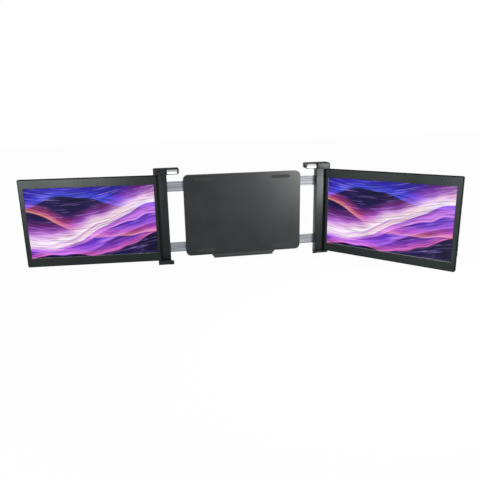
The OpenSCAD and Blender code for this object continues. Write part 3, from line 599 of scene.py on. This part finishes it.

# %% [markdown]
# ## The rim of a screen
# Where the front frame and the back shell of a screen meet, their rounded edge takes a band of
# the black paint. It is painted shade: it gives each screen a thin dark outline where its sides
# turn from the light. The band ends in a clean line 2 mm in from the edge. A mask in the
# material could mix the paint in, but it would have to know where each rim lies. Instead, four
# cuts draw that line on a copy of the mesh, and the faces outside it take the paint as a second
# material. The faces of the ledge are found by their tilt: they look up and forward, and take
# the painted highlight. The shape stays as it was.


# %% Paint the rims
def rimmed(node, band_mm=2.0, painted_highlight_ledge=False):
    """Stands a copy with painted shade at its edge in for a casing half, and counts its faces."""
    mesh = frame["nodes"][node].data.copy()
    mesh.materials.append(black_shade_paint)
    if painted_highlight_ledge:
        mesh.materials.append(ledge_highlight_abs)
    facing = max(mesh.polygons, key=lambda face: face.area).normal.copy()
    along = Vector((facing.y, -facing.x, 0.0)).normalized()
    shape = bmesh.new()
    shape.from_mesh(mesh)
    bmesh.ops.remove_doubles(shape, verts=shape.verts, dist=WELD)
    bands = []
    for axis in (along, Vector((0, 0, 1))):
        spread = [point.co.dot(axis) for point in shape.verts]
        for outward, limit in ((-1, min(spread)), (1, max(spread))):
            line = limit - outward * band_mm * MM
            bmesh.ops.bisect_plane(
                shape, geom=shape.verts[:] + shape.edges[:] + shape.faces[:], dist=WELD,
                plane_co=axis * line, plane_no=axis)
            bands.append((axis, outward, line))
    shape.normal_update()
    tilt = 0.4
    # Faces outside the band lines take the painted shade; on a bezel, ledge faces take the painted
    # highlight
    for face in shape.faces:
        centre = face.calc_center_median()
        if any(outward * (centre.dot(axis) - line) > 0 for axis, outward, line in bands):
            face.material_index = 1
        elif painted_highlight_ledge and face.normal.z > tilt and face.normal.dot(facing) > tilt:
            face.material_index = 2
    counts = [sum(face.material_index == i for face in shape.faces) for i in range(3)]
    shape.to_mesh(mesh)
    shape.free()
    shade(mesh)
    stand_in(node, mesh, "_painted")
    return counts


# The third count is of ledge faces that carry the painted highlight
for side in SIDES:
    for part in ("bezel", "back_cover"):
        print(side, part, "plain, painted and highlight-painted faces:",
              rimmed(side + "_" + part, painted_highlight_ledge=part == "bezel"))

# %% [markdown]
# ## The white room
# The set stands in a white room. Rays from the camera, and rays that metal or glass send on, see
# it as plain white, where a strength of 1 is white. A room that bright would also light the
# black parts until they turn grey, so all other rays meet a dimmer room.


# %% White room
def shows_the_room(tree):
    """1 for a ray that shows the room itself: seen straight, mirrored or through glass."""
    path = add_node(tree, "ShaderNodeLightPath")
    seen = add_node(tree, "ShaderNodeMath", {
        0: path.outputs["Is Camera Ray"], 1: path.outputs["Is Glossy Ray"]}, operation="MAXIMUM")
    seen = add_node(tree, "ShaderNodeMath", {
        0: seen.outputs["Value"], 1: path.outputs["Is Transmission Ray"]}, operation="MAXIMUM")
    return seen.outputs["Value"]


lighting_strength, seen_strength = 0.45, 1.0
room = bpy.data.worlds.new("white_room")
bpy.context.scene.world = room
room.use_nodes = True
tree = room.node_tree
tree.nodes.clear()
dim_room = add_node(tree, "ShaderNodeBackground", {
    "Color": WHITE, "Strength": lighting_strength})
white_room = add_node(tree, "ShaderNodeBackground", {"Color": WHITE, "Strength": seen_strength})
either = add_node(tree, "ShaderNodeMixShader", {
    0: shows_the_room(tree), 1: dim_room.outputs["Background"],
    2: white_room.outputs["Background"]})
add_node(tree, "ShaderNodeOutputWorld", {"Surface": either.outputs["Shader"]})
print("white room lights at", lighting_strength, "and is seen at", seen_strength)

# %% [markdown]
# ## The floor
# A matt white floor runs out into the room. It lies 33 mm under the screens, where the base of a
# laptop under the lid would stand. Plain paint would turn grey towards the back. So to the rays
# that show the room it is mostly a white glow, and the small rest is real paint, which keeps the
# object's faint shadow.

# %% Floor
floor_level = -0.262
floor_half = 6.0
glow_share = 0.97
shape = bmesh.new()
bmesh.ops.create_grid(shape, x_segments=8, y_segments=8, size=floor_half)
floor_mesh = bpy.data.meshes.new("floor")
shape.to_mesh(floor_mesh)
shape.free()
floor = bpy.data.objects.new("floor", floor_mesh)
floor.location.z = floor_level
bpy.context.scene.collection.objects.link(floor)

floor_paint, tree = new_finish("matt_white_painted_floor")
share = add_node(tree, "ShaderNodeMath", {0: shows_the_room(tree), 1: glow_share},
                 operation="MULTIPLY")
paint = add_node(tree, "ShaderNodeBsdfDiffuse", {"Color": linear("#f4f4f4")})
glow = add_node(tree, "ShaderNodeEmission", {"Color": WHITE, "Strength": 1.0})
either = add_node(tree, "ShaderNodeMixShader", {
    0: share.outputs["Value"], 1: paint.outputs["BSDF"], 2: glow.outputs["Emission"]})
add_node(tree, "ShaderNodeOutputMaterial", {"Surface": either.outputs["Shader"]})
floor_mesh.materials.append(floor_paint)

# %% [markdown]
# ## The softboxes
# Three softboxes stand aside of the camera, two on the left and one on the right. Between them
# there is no lamp, so faces that look straight at the camera stay deep, and faces turned a
# little aside catch a box. Area lamps are used and not points, because a lamp's size is what
# makes its glow on matt plastic broad and its shadow soft.

# %% Softboxes
softboxes = [
    # name, place, aim, width and height in metres, power in watts
    ("right_softbox", (0.44, -0.62, -0.035), (0.2, 0.0, -0.01), 0.27, 0.27, 7.9),
    ("left_softbox", (-0.86, -1.3, -0.08), (-0.35, 0.0, -0.02), 0.55, 0.34, 10.0),
    ("side_softbox", (-1.05, -0.66, 0.0), (0.35, -0.2, -0.05), 0.34, 0.4, 2.6),
]
for name, place, aim, width, height, power in softboxes:
    lamp = bpy.data.lights.new(name, "AREA")
    lamp.shape = "RECTANGLE"
    lamp.size, lamp.size_y = width, height
    lamp.energy = power
    box = bpy.data.objects.new(name, lamp)
    box.location = place
    box.rotation_euler = (Vector(aim) - Vector(place)).to_track_quat("-Z", "Y").to_euler()
    box.visible_camera = False
    bpy.context.scene.collection.objects.link(box)
bpy.context.scene.view_settings.view_transform = "Standard"
print("softboxes:", len(softboxes))
